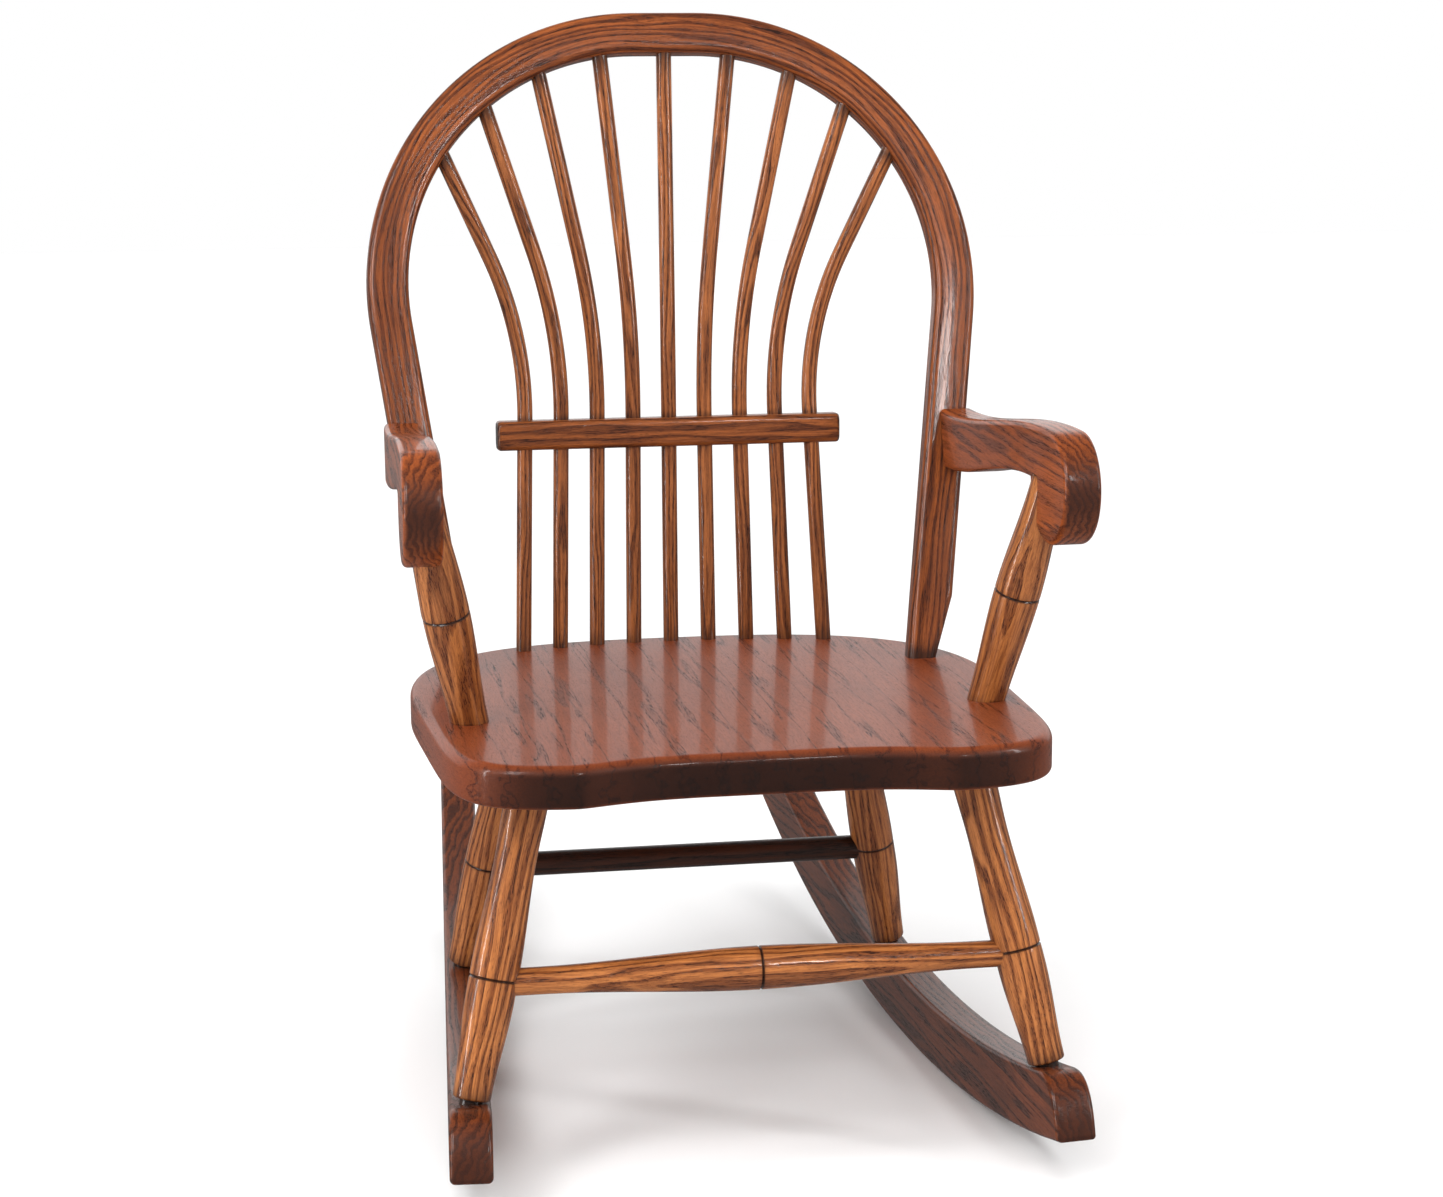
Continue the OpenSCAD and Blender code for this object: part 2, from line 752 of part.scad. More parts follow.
// Angle at the rocker's centre of the start of each rounded end
function rocker_angle(reach) = asin(reach / rocker_r) - asin(rocker_round / rocker_r);

// A rounded end from its lower corner up to the top edge, round the rocker's centre
function rocker_end(from, side) = [
    for (j = [0:curve_steps])
    let (p = power_curve(rocker_round, rocker_h, end_power, 90 * j / curve_steps))
    let (angle = from + asin(p[0] / rocker_r), r = rocker_r - p[1])
    [side * r * sin(angle), -r * cos(angle)]
];

module rocker_side_view() {
    front = rocker_end(rocker_angle(rocker_front + rocker_low_y), FRONT);
    rear = rocker_end(rocker_angle(rocker_rear - rocker_low_y), REAR);
    translate([rocker_low_y, rocker_r])
        intersection() {
            difference() {
                circle(r = rocker_r, $fn = 720);
                circle(r = rocker_r - rocker_h, $fn = 720);
            }
            polygon(concat(
                [[0, 0]],
                [for (j = [curve_steps:-1:0]) front[j]],
                [2 * front[0], [0, -2 * rocker_r], 2 * rear[0]],
                rear
            ));
        }
}

module rocker(side) {
    color("#6f3a1d")
        frame_shift()
            sided(side)
                difference() {
                    translate([rocker_x, 0, 0])
                        rotate([0, 0, rocker_toe])
                            rotate([90, 0, 90])
                                linear_extrude(rocker_t, center = true) rocker_side_view();
                    for (row = [FRONT, REAR]) foot_tenon(row, glue_gap);
                }
}

// ---- arm screws and their plugs ----

module arm_screw(gap) {
    head = screw_entry - plug_l * bow_back;
    translate(head) aim(-bow_back) {
        cylinder(d1 = screw_head_d + 2 * gap, d2 = screw_d + 2 * gap, h = screw_head_l + gap);
        cylinder(d = screw_d + 2 * gap, h = screw_l + gap);
    }
}

module screw_plug(gap) {
    translate(screw_entry) aim(-bow_back)
        translate([0, 0, -gap]) cylinder(d = plug_d + 2 * gap, h = plug_l + gap);
}

module arm_screws() {
    color("#8d8f92")
        frame_shift()
            for (side = [LEFT, RIGHT])
                sided(side)
                    difference() {
                        arm_screw(0);
                        translate(screw_entry - plug_l * bow_back)
                            aim(-bow_back)
                                for (turn = [0, 90])
                                    rotate(turn) cube([slot_l, slot_w, 2 * slot_depth], center = true);
                    }
}

module screw_plugs() {
    color("#6a3419")
        frame_shift()
            for (side = [LEFT, RIGHT])
                sided(side) screw_plug(0);
}

seat();
bow();
crossbar();
for (i = [1:spindles]) spindle(i);
arm(LEFT);  // arm_left
arm(RIGHT);  // arm_right
arm_post(LEFT);  // arm_post_left
arm_post(RIGHT);  // arm_post_right
leg(FRONT, LEFT);  // leg_front_left
leg(FRONT, RIGHT);  // leg_front_right
leg(REAR, LEFT);  // leg_rear_left
leg(REAR, RIGHT);  // leg_rear_right
front_stretcher();  // stretcher_front
rear_stretcher();  // stretcher_rear
rocker(LEFT);  // rocker_left
rocker(RIGHT);  // rocker_right
arm_screws();
screw_plugs();
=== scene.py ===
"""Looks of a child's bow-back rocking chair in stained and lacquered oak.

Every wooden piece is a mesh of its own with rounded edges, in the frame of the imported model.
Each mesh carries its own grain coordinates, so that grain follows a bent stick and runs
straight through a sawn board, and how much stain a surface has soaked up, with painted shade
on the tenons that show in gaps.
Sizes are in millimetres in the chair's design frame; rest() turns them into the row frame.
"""
import math

import bmesh
import bpy
import numpy as np
from mathutils import Matrix, Vector
from mathutils.geometry import tessellate_polygon


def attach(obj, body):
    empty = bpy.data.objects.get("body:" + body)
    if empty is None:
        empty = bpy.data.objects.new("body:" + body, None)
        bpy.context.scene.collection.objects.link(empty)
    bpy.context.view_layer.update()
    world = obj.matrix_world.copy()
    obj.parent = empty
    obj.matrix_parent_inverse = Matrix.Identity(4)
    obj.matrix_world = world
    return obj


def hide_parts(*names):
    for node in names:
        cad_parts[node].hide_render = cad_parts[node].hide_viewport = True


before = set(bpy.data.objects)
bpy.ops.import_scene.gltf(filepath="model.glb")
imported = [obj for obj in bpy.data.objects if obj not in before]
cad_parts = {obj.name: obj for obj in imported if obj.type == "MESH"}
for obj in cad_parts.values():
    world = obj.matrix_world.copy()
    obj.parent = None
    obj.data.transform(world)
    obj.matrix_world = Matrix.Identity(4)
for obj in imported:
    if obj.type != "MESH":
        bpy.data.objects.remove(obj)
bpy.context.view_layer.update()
MM = 0.001
LEFT, RIGHT = -1, 1
FRONT, REAR = -1, 1
UP = np.array([0.0, 0.0, 1.0])


def sind(a):
    return math.sin(math.radians(a))


def cosd(a):
    return math.cos(math.radians(a))


def tand(a):
    return math.tan(math.radians(a))


def unit(v):
    v = np.asarray(v, float)
    return v / np.linalg.norm(v)


# ---- sizes, as in the CAD model ----

seat_w, seat_rear, seat_front, seat_t, seat_h = 382.0, 198.0, 182.0, 25.5, 270.0
seat_taper, seat_tilt, seat_scoop, seat_scoop_half = 2.4, 2.7, 15.0, 128.0
seat_rear_power, seat_front_power, scoop_power = 2.8, 6.5, 4.0

bow_w, bow_d = 27.5, 18.0
bow_foot_x, bow_foot_y = seat_w / 2 - 31, seat_rear - 105
bow_lean, bow_flare, bow_leg, bow_round = 17.0, 7.6, 235.0, 0.892
bow_taper, bow_narrow = 42.0, 8.0

spindles, middle_spindle = 9, 5
spindle_d = 10.5
seat_pitch, bar_pitch, spindle_fan = 26.2, 24.9, 0.604
spindle_inset, spindle_row_r, spindle_bend = 15.0, 345.0, 58.0

bar_l, bar_h, bar_d = 238.0, 20.0, 17.0
bar_z, bar_y = seat_h + 137, seat_rear - 6

arm_t, arm_x, arm_splay = 23.5, seat_w / 2 + 1, 1.8
arm_rear_z, arm_rear_h = seat_h + 157.5, 38.5
scroll_r, scroll_y, scroll_z = 34.8, seat_front - 81, seat_h + 147
post_head_behind, post_head_under, post_head_in = 0.72, 0.12, 2.4

post_x, post_y = seat_w / 2 - 27.6, seat_front - 134
post_sizes = (23.6, 29.0, 22.8)
post_ring = 74.0

front_top = (seat_w / 2 - 56, seat_front - 66)
rear_top = (seat_w / 2 - 79, seat_rear - 78)
front_rake, rear_rake = 42.0, 30.0
leg_top_d, leg_waist_d, leg_ring_d, leg_foot_d = 27.6, 25.0, 29.4, 23.0
foot_tenon_d, foot_inset, foot_gap, ring_rise = 14.0, 1.0, 3.0, 3.0
ring_swell_from, ring_swell_to, waist_up_leg = 0.86, 1.08, 0.62

front_stretcher_z, rear_stretcher_z = 137.0, 118.0
stretcher_mid_d, stretcher_end_d = 26.4, 16.5
stretcher_past, stretcher_shoulder = 2.0, 14.0

rocker_r, rocker_h, rocker_t = 1015.0, 41.0, 25.5
rocker_x, rocker_low_y = seat_w / 2 - 27, 71.0
rocker_front, rocker_rear = seat_front + 28, seat_rear + 257
rest_roll, rocker_toe, rocker_round, end_power = 1.9, 4.8, 30.0, 2.6

post_foot_tenon_d, leg_tenon_d = 16.0, 19.0
ring_depth, ring_w = 0.9, 1.8
plug_d, plug_l, screw_down_arm = 10.0, 5.0, 0.55

# Rounded edges, and the lengths of stick that run on out of sight into another piece
seat_edge_low, seat_edge_top, bow_edge_r, bar_edge_r, bar_end_r = 3.0, 6.5, 5.0, 4.0, 3.0
arm_edge_r, rocker_edge_r, foot_edge_r, tenon_edge = 3.5, 3.2, 1.6, 0.6
spindle_foot_l, spindle_tip_l, post_foot_l, post_head_l = 14.0, 10.0, 12.0, 6.0
leg_foot_l, leg_head_l, leg_cut = 10.0, 20.0, 8.0

# ---- the frame at rest ----

roll_y = rocker_low_y * cosd(rocker_toe)


def low_edge(y):
    return rocker_r - math.sqrt(rocker_r ** 2 - (y - rocker_low_y) ** 2)


def top_edge(y):
    return rocker_r - math.sqrt((rocker_r - rocker_h) ** 2 - (y - rocker_low_y) ** 2)


def rolled_y(y, z):
    return roll_y + (y - roll_y) * cosd(rest_roll) - (z - rocker_r) * sind(rest_roll)


toe_corner = rocker_t / 2 * sind(rocker_toe)
front_end = rolled_y(-rocker_front * cosd(rocker_toe) - toe_corner, low_edge(-rocker_front))
rear_end = rolled_y(rocker_rear * cosd(rocker_toe) + toe_corner, low_edge(rocker_rear))
mid_y = (front_end + rear_end) / 2


def rest(points):
    """Design frame in mm to row frame in metres."""
    p = np.asarray(points, float)
    y, z = p[..., 1] - roll_y, p[..., 2] - rocker_r
    return np.stack([
        p[..., 0],
        roll_y - mid_y + y * cosd(rest_roll) - z * sind(rest_roll),
        rocker_r + y * sind(rest_roll) + z * cosd(rest_roll),
    ], -1) * MM


# ---- places ----

def seat_top(y):
    return seat_h - tand(seat_tilt) * y


def seat_under(y):
    return seat_top(y) - seat_t / cosd(seat_tilt)


bow_foot_z = seat_top(bow_foot_y)
bow_up = np.array([0, sind(bow_lean), cosd(bow_lean)])
bow_back = np.array([0, cosd(bow_lean), -sind(bow_lean)])
bow_origin = np.array([0, bow_foot_y, bow_foot_z])
bow_r = bow_round * (bow_foot_x + bow_leg * sind(bow_flare)) / cosd(bow_flare)
shoulder_x = bow_foot_x + bow_leg * sind(bow_flare) - bow_r * cosd(bow_flare)
shoulder_s = bow_leg * cosd(bow_flare) + bow_r * sind(bow_flare)
bow_inner_r = bow_r - bow_w / 2
top_pitch = spindle_fan / (middle_spindle - 1) * (shoulder_x + bow_inner_r * math.radians(90 + bow_flare))


def bow_point(x, s):
    return np.array([x, 0, 0]) + bow_origin + s * bow_up


def bow_inner(a):
    if a < shoulder_x:
        return bow_point(a, shoulder_s + bow_inner_r)
    turn = (a - shoulder_x) / bow_inner_r
    return bow_point(
        shoulder_x + bow_inner_r * math.sin(turn), shoulder_s + bow_inner_r * math.cos(turn)
    )


def bow_y(z):
    return bow_foot_y + (z - bow_foot_z) * tand(bow_lean)


def bow_front_y(z):
    return bow_y(z) - bow_d / 2 / cosd(bow_lean)


def bow_x(z):
    return bow_foot_x + (z - bow_foot_z) / cosd(bow_lean) * tand(bow_flare)


def rocker_mid_x(y):
    return rocker_x - tand(rocker_toe) * y


def leg_ends(row):
    x, y = front_top if row == FRONT else rear_top
    foot_y = y + (front_rake if row == FRONT else rear_rake)
    y, foot_y = row * y, row * foot_y
    foot = np.array([rocker_mid_x(foot_y) - foot_inset, foot_y, top_edge(foot_y) + foot_gap])
    return foot, np.array([x, y, seat_under(y)])


def leg_ring_point(row):
    foot, top = leg_ends(row)
    z = front_stretcher_z if row == FRONT else rear_stretcher_z
    return foot + (top - foot) * (z - foot[2]) / (top[2] - foot[2])


def arm_mid_x(y):
    return arm_x - tand(arm_splay) * y


post_foot = np.array([post_x, -post_y, seat_top(-post_y)])
post_head_y = -scroll_y + post_head_behind * scroll_r
post_head = np.array(
    [arm_mid_x(post_head_y) - post_head_in, post_head_y, scroll_z - post_head_under * scroll_r])
arm_rear_y = bow_front_y(arm_rear_z)
arm_under_y = bow_front_y(arm_rear_z - arm_rear_h)


def ease(t):
    return (1 - math.cos(math.pi * t)) / 2


# ---- mesh code ----

random = np.random.default_rng(7)
TURN_SEGMENTS, ROUND_SEGMENTS = 56, 28
# A scored ring: place in half widths, share of its depth, and how dark the stain is there
SCORE = (
    (-1.3, 0, 0.15), (-1, 0.04, 0.5), (-0.55, 0.6, 1), (0, 1, 1),
    (0.55, 0.6, 1), (1, 0.04, 0.5), (1.3, 0, 0.15),
)
SCORE_CLEAR = 1.6
TINY = 1e-6


def axes_along(d):
    """Two directions square to d, the first as level as can be."""
    d = unit(d)
    side = np.cross(UP, d)
    side = unit(side) if np.linalg.norm(side) > 1e-3 else np.array([1.0, 0, 0])
    return side, np.cross(d, side)


def tube(rings, grains):
    """A closed skin over rings of points, each ring with the same count."""
    rings = np.asarray(rings, float)
    n, m = rings.shape[:2]
    faces = [
        (i * m + j, i * m + (j + 1) % m, (i + 1) * m + (j + 1) % m, (i + 1) * m + j)
        for i in range(n - 1) for j in range(m)
    ]
    for first in (0, (n - 1) * m):
        ring = [Vector(p) for p in rings[first // m]]
        faces += [tuple(first + k for k in face) for face in tessellate_polygon([ring])]
    return rings.reshape(-1, 3), faces, np.asarray(grains, float).reshape(-1, 3)


def piece(name, node, skin, along, material, stain_and_shade=None, side=RIGHT, sharp=38.0):
    """Makes the mesh object, with its grain, end grain and stain (painted shade on tenons) as attributes.

    along is the grain's direction, one vector or one for each vertex.
    """
    verts, faces, grain = skin
    verts, along = np.array(verts, float), np.broadcast_to(along, np.shape(verts)).copy()
    if side == LEFT:
        verts[:, 0] *= -1
        along[:, 0] *= -1
    mesh = bpy.data.meshes.new(name)
    mesh.from_pydata(rest(verts).tolist(), [], [list(f) for f in faces])
    mesh.validate()
    bm = bmesh.new()
    bm.from_mesh(mesh)
    bmesh.ops.recalc_face_normals(bm, faces=bm.faces)
    bm.to_mesh(mesh)
    bm.free()
    mesh.shade_smooth()
    mesh.set_sharp_from_angle(angle=math.radians(sharp))
    direction = rest(verts + along) - rest(verts)
    direction /= np.linalg.norm(direction, axis=1)[:, None]
    normals = np.array([v.normal for v in mesh.vertices])
    ends = np.clip(np.abs((normals * direction).sum(1)), 0, 1)
    shift = random.uniform(-400, 400, 3) * (1, 0, 0)
    for key, kind, values in (
        ("grain", "FLOAT_VECTOR", grain + shift),
        ("end_grain", "FLOAT", ends ** 2),
        ("stain_and_shade", "FLOAT", np.zeros(len(verts)) if stain_and_shade is None else np.asarray(stain_and_shade, float)),
    ):
        made = mesh.attributes.new(key, kind, "POINT")
        made.data.foreach_set(
            "vector" if kind == "FLOAT_VECTOR" else "value", values.astype(np.float32).ravel()
        )
    mesh.materials.append(material)
    obj = bpy.data.objects.new(name, mesh)
    bpy.context.scene.collection.objects.link(obj)
    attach(obj, "root")
    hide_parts(node)


def pith():
    """Where the tree's centre lies beside a stick: sets how its rings show."""
    a, r = random.uniform(0, 2 * math.pi), random.uniform(25.0, 70.0)
    return r * math.cos(a), r * math.sin(a)


def station_radius(stations, s):
    s = min(max(s, stations[0][0]), stations[-1][0])
    for (s0, d0), (s1, d1) in zip(stations, stations[1:]):
        if s <= s1:
            return (d0 + (d1 - d0) * ease((s - s0) / (s1 - s0))) / 2
    return stations[-1][1] / 2


def turned(foot, head, stations, ring, foot_tenon, head_tenon, foot_edge=0.0,
           foot_trim=None, head_trim=None, steps=64):
    """A turning, with a scored ring unless ring is None, and a tenon at each end that has one.

    A tenon is (diameter, length). A trim function gives, for a point on the turned surface near
    that end, how far along the axis it has to slide to meet the piece that it fits against.
    """
    axis = unit(head - foot)
    side, other = axes_along(axis)
    angles = 2 * math.pi * np.arange(TURN_SEGMENTS) / TURN_SEGMENTS
    half = ring_w / 2
    last = stations[-1][0]
    rows = []
    for s in np.linspace(0, last, steps):
        clear = ring is None or abs(s - ring) > SCORE_CLEAR * half
        if clear and foot_edge < s < last:
            rows.append((s, station_radius(stations, s), 0.0))
    for ds, depth, dark in () if ring is None else SCORE:
        s = ring + ds * half
        rows.append((s, station_radius(stations, s) - depth * ring_depth, dark))
    r0 = station_radius(stations, 0)
    edge_steps = 5
    for k in range(edge_steps + 1):
        a = math.pi / 2 * k / edge_steps
        rows.append((foot_edge * (1 - math.sin(a)), r0 - foot_edge * (1 - math.cos(a)),
                     0.75 * a / (math.pi / 2) if foot_edge else 0.3))
    rows.append((last, station_radius(stations, last), 0.5))
    rows.sort(key=lambda row: row[0])
    centre_v, centre_w = pith()
    rings, grains, stain_and_shade = [], [], []

    def add(s, r, dark, trim=None):
        p = foot + s * axis + r * (np.cos(angles)[:, None] * side + np.sin(angles)[:, None] * other)
        slide = np.zeros(TURN_SEGMENTS)
        if trim is not None:
            slide = np.array([trim(q, axis) for q in p])
            p = p + slide[:, None] * axis
        rings.append(p)
        grains.append(np.stack([
            s + slide, centre_v + r * np.cos(angles), centre_w + r * np.sin(angles)], 1))
        stain_and_shade.append(np.full(TURN_SEGMENTS, dark))

    # Tenons get the fully soaked colour: where a leg's foot tenon shows in the gap above the rocker, this
    # is painted shade in the gap.
    if foot_tenon:
        d, l = foot_tenon
        add(-l, d / 2 - tenon_edge, 1.0)
        add(-l + tenon_edge, d / 2, 1.0)
        add(0.0 if foot_trim is None else -1.0, d / 2, 1.0)
    for s, r, dark in rows:
        trim = None
        if foot_trim is not None and s <= rows[0][0] + TINY:
            trim = foot_trim
        if head_trim is not None and s >= last - TINY:
            trim = head_trim
        depth, reach = (0.55, 7.0) if foot_edge else (0.35, 3.0)
        add(s, r, max(dark, depth * math.exp(-(s / reach) ** 2)), trim)
    # the head tenons get the same fully soaked colour, painted shade
    if head_tenon:
        d, l = head_tenon
        add(last + 1.0, d / 2, 1.0)
        add(last + l, d / 2, 1.0)
    return tube(rings, grains), axis, np.concatenate(stain_and_shade)


def swept(path, tangents, first, section_at, offset=None):
    """A stick of any section along a path. section_at(i) gives the section's points."""
    v0, w0 = pith() if offset is None else offset
    lengths = np.concatenate([[0], np.cumsum(np.linalg.norm(np.diff(path, axis=0), axis=1))])
    rings, grains, along = [], [], []
    u = unit(first)
    for i, (p, t) in enumerate(zip(path, tangents)):
        t = unit(t)
        u = unit(u - (u @ t) * t)
        w = np.cross(t, u)
        section = section_at(i)
        rings.append(p + section[:, :1] * u + section[:, 1:2] * w)
        grains.append(np.stack([
            np.full(len(section), lengths[i]), section[:, 0] + v0, section[:, 1] + w0], 1))
        along.append(np.broadcast_to(t, (len(section), 3)))
    return tube(rings, grains), np.concatenate(along)


def rounded_section(w, h, r, corner_steps=6):
    r = min(r, w / 2 - 0.01, h / 2 - 0.01)
    points = []
    for cx, cy, start in ((1, 1, 0), (-1, 1, 90), (-1, -1, 180), (1, -1, 270)):
        for k in range(corner_steps + 1):
            a = math.radians(start + 90 * k / corner_steps)
            points.append((cx * (w / 2 - r) + r * math.cos(a), cy * (h / 2 - r) + r * math.sin(a)))
    return np.array(points)


def outline_normals(outline):
    ahead = np.roll(outline, -1, 0) - outline
    ahead /= np.linalg.norm(ahead, axis=1)[:, None] + 1e-12
    n = np.stack([ahead[:, 1], -ahead[:, 0]], 1)
    n = n + np.roll(n, 1, 0)
    n /= np.linalg.norm(n, axis=1)[:, None] + 1e-12
    area = 0.5 * np.sum(
        outline[:, 0] * np.roll(outline[:, 1], -1) - outline[:, 1] * np.roll(outline[:, 0], -1))
    return n if area > 0 else -n


def inset(outline, out, by):
    """The outline moved inwards; points that would cross over stop where the two sides meet."""
    moved = outline - by * out
    ahead = np.roll(outline, -1, 0) - outline
    size = (ahead ** 2).sum(1) + 1e-12
    area = np.sum(outline[:, 0] * np.roll(outline[:, 1], -1) - outline[:, 1] * np.roll(outline[:, 0], -1))
    inward = math.copysign(1, area) * np.stack([-ahead[:, 1], ahead[:, 0]], 1) / np.sqrt(size)[:, None]
    for _ in range(8):
        t = ((moved[:, None] - outline[None]) * ahead[None]).sum(-1) / size[None]
        near = outline[None] + np.clip(t, 0, 1)[..., None] * ahead[None]
        gap = np.linalg.norm(moved[:, None] - near, axis=-1)
        nearest = gap.argmin(1)
        short = gap[np.arange(len(moved)), nearest] < 0.99 * by
        if not short.any():
            break
        hit = nearest[short]
        moved[short] = near[short, hit] + by * inward[hit]
    return moved


def board(outline, low, high, r_low, r_high, steps=7):
    """A board with rounded long edges: rings of its outline from the low face to the high one."""
    outline = np.asarray(outline, float)
    out = outline_normals(outline)
    rows = [(low, r_low + 0.5)]
    for k in range(steps + 1):
        a = math.pi / 2 * k / steps
        rows.append((low + r_low * (1 - math.cos(a)), r_low * (1 - math.sin(a))))
    for k in range(steps + 1):
        a = math.pi / 2 * k / steps
        rows.append((high - r_high * (1 - math.sin(a)), r_high * (1 - math.cos(a))))
    rows.append((high, r_high + 0.5))
    rings = []
    for z, by in rows:
        flat = inset(outline, out, by) if by > TINY else outline
        rings.append(np.concatenate([flat, np.full((len(outline), 1), z)], 1))
    return rings


# ---- materials ----

class Nodes:
    """Short calls that build a node tree."""

    def __init__(self, material):
        material.use_nodes = True
        self.tree = material.node_tree
        self.tree.nodes.clear()

    def new(self, kind, **settings):
        node = self.tree.nodes.new(kind)
        for key, value in settings.items():
            setattr(node, key, value)
        return node

    def put(self, socket, value):
        if isinstance(value, bpy.types.NodeSocket):
            self.tree.links.new(value, socket)
        else:
            socket.default_value = value

    def math(self, operation, a, b=0.0, c=0.0, clamp=False):
        node = self.new("ShaderNodeMath", operation=operation, use_clamp=clamp)
        for socket, value in zip(node.inputs, (a, b, c)):
            self.put(socket, value)
        return node.outputs[0]

    def vector(self, operation, a, b=(0, 0, 0)):
        node = self.new("ShaderNodeVectorMath", operation=operation)
        self.put(node.inputs[0], a)
        self.put(node.inputs[1], b)
        return node.outputs[0]

    def noise(self, vector, detail=2.0, roughness=0.5, colour=False):
        node = self.new("ShaderNodeTexNoise", noise_dimensions="3D")
        self.put(node.inputs["Vector"], vector)
        node.inputs["Scale"].default_value = 1.0
        node.inputs["Detail"].default_value = detail
        node.inputs["Roughness"].default_value = roughness
        return node.outputs["Color" if colour else "Fac"]

    def step(self, value, low, high, to_low=0.0, to_high=1.0):
        node = self.new("ShaderNodeMapRange", interpolation_type="SMOOTHSTEP")
        self.put(node.inputs["Value"], value)
        for key, number in (("From Min", low), ("From Max", high), ("To Min", to_low),
                            ("To Max", to_high)):
            self.put(node.inputs[key], number)
        return node.outputs["Result"]

    def mix(self, factor, a, b, blend="MIX"):
        node = self.new("ShaderNodeMix", data_type="RGBA", blend_type=blend)
        self.put(node.inputs[0], factor)
        self.put(node.inputs[6], a)
        self.put(node.inputs[7], b)
        return node.outputs[2]


def linear(r, g, b):
    def one(c):
        c /= 255
        return c / 12.92 if c <= 0.04045 else ((c + 0.055) / 1.055) ** 2.4
    return (one(r), one(g), one(b), 1.0)


def oak(name, light, dark, pore, soaked, ring=3.0, plank=None, pore_amount=1.0, contrast=1.0,
        band=(0.0, 0.14, 0.30, 0.70), coat=0.9):
    """Stained oak under clear lacquer.

    light and dark are late and early wood, pore the open pores, soaked end grain, score lines and the
    painted shade on tenons.
    ring is a year's growth in mm and plank the width of the boards that a panel is glued from.
    band gives where in a ring the early wood starts and ends: from, to, from, to.
    """
    material = bpy.data.materials.new(name)
    n = Nodes(material)
    grain = n.new("ShaderNodeAttribute", attribute_name="grain").outputs["Vector"]
    end = n.new("ShaderNodeAttribute", attribute_name="end_grain").outputs["Fac"]
    stain_and_shade = n.new("ShaderNodeAttribute", attribute_name="stain_and_shade").outputs["Fac"]
    tone = None
    if plank:
        split = n.new("ShaderNodeSeparateXYZ")
        n.put(split.inputs[0], grain)
        index = n.math("FLOOR", n.math("DIVIDE", split.outputs[1], plank))
        jump = n.new("ShaderNodeTexWhiteNoise", noise_dimensions="1D")
        n.put(jump.inputs["W"], index)
        grain = n.vector("ADD", grain, n.vector("MULTIPLY", jump.outputs["Color"], (700, 130, 60)))
        tone = jump.outputs["Value"]
    bend = n.vector("SUBTRACT", n.noise(n.vector("MULTIPLY", grain, (1 / 150, 1 / 26, 1 / 26)), 2.0,
                                        0.5, True), (0.5, 0.5, 0.5))
    warped = n.vector("ADD", grain, n.vector("MULTIPLY", bend, (0, 13, 13)))
    flat = n.vector("MULTIPLY", warped, (0.035, 1, 1))
    distance = n.new("ShaderNodeVectorMath", operation="LENGTH")
    n.put(distance.inputs[0], flat)
    phase = n.math("DIVIDE", distance.outputs["Value"], ring)
    uneven = n.noise(n.vector("MULTIPLY", grain, (1 / 90, 1 / 6, 1 / 6)), 1.0)
    phase = n.math("FRACT", n.math("ADD", phase, n.math("MULTIPLY", uneven, 1.6)))
    early = n.math("MULTIPLY", n.step(phase, band[0], band[1]), n.step(phase, band[2], band[3], 1.0, 0.0))
    vessels = n.noise(n.vector("MULTIPLY", warped, (1 / 11, 1 / 0.42, 1 / 0.42)), 2.0, 0.55)
    vessels = n.step(vessels, 0.50, 0.60)
    small = n.noise(n.vector("MULTIPLY", warped, (1 / 5, 1 / 0.3, 1 / 0.3)), 1.0)
    small = n.step(small, 0.57, 0.68)
    pores = n.math("MULTIPLY", vessels, n.math("MULTIPLY_ADD", early, 0.88, 0.12))
    pores = n.math("MULTIPLY", n.math("MAXIMUM", pores, n.math("MULTIPLY", small, 0.55)), pore_amount,
                   clamp=True)
    fibre = n.noise(n.vector("MULTIPLY", warped, (1 / 40, 1 / 1.1, 1 / 1.1)), 3.0, 0.6)
    broad = n.noise(n.vector("MULTIPLY", grain, (1 / 110, 1 / 30, 1 / 30)), 2.0)
    colour = n.mix(n.math("MULTIPLY", early, 0.72 * contrast, clamp=True), light, dark)
    colour = n.mix(n.step(fibre, 0.36, 0.70, 0.0, 0.55 * contrast), colour, dark)
    colour = n.mix(n.step(broad, 0.35, 0.70, 0.0, 0.35 * contrast), colour, dark)
    if tone is not None:
        colour = n.mix(n.math("MULTIPLY", tone, 0.35), colour, dark)
    colour = n.mix(n.math("MULTIPLY", pores, 0.94), colour, pore)
    # end grain and the stain attribute darken towards the soaked colour; on tenons that is painted shade
    soak = n.math("MAXIMUM", n.math("MULTIPLY", end, 0.92), n.math("MULTIPLY", stain_and_shade, 0.93), clamp=True)
    colour = n.mix(soak, colour, soaked)
    height = n.math("MULTIPLY_ADD", pores, -1.0, n.math("MULTIPLY", fibre, 0.18))
    bump = n.new("ShaderNodeBump")
    bump.inputs["Strength"].default_value = 0.7
    bump.inputs["Distance"].default_value = 0.00012
    n.put(bump.inputs["Height"], height)
    film = n.new("ShaderNodeBump")
    film.inputs["Strength"].default_value = 0.35
    film.inputs["Distance"].default_value = 0.00006
    ripple = n.noise(n.vector("MULTIPLY", grain, (1 / 16, 1 / 5, 1 / 5)), 1.0)
    n.put(film.inputs["Height"], n.math("MULTIPLY_ADD", ripple, 2.2, height))
    shader = n.new("ShaderNodeBsdfPrincipled")
    n.put(shader.inputs["Base Color"], colour)
    n.put(shader.inputs["Roughness"], n.math("MULTIPLY_ADD", pores, 0.25, 0.42))
    shader.inputs["Specular IOR Level"].default_value = 0.2
    shader.inputs["Coat Weight"].default_value = coat
    shader.inputs["Coat Roughness"].default_value = 0.07
    shader.inputs["Coat IOR"].default_value = 1.45
    n.put(shader.inputs["Normal"], bump.outputs["Normal"])
    n.put(shader.inputs["Coat Normal"], film.outputs["Normal"])
    out = n.new("ShaderNodeOutputMaterial")
    n.put(out.inputs["Surface"], shader.outputs[0])
    return material


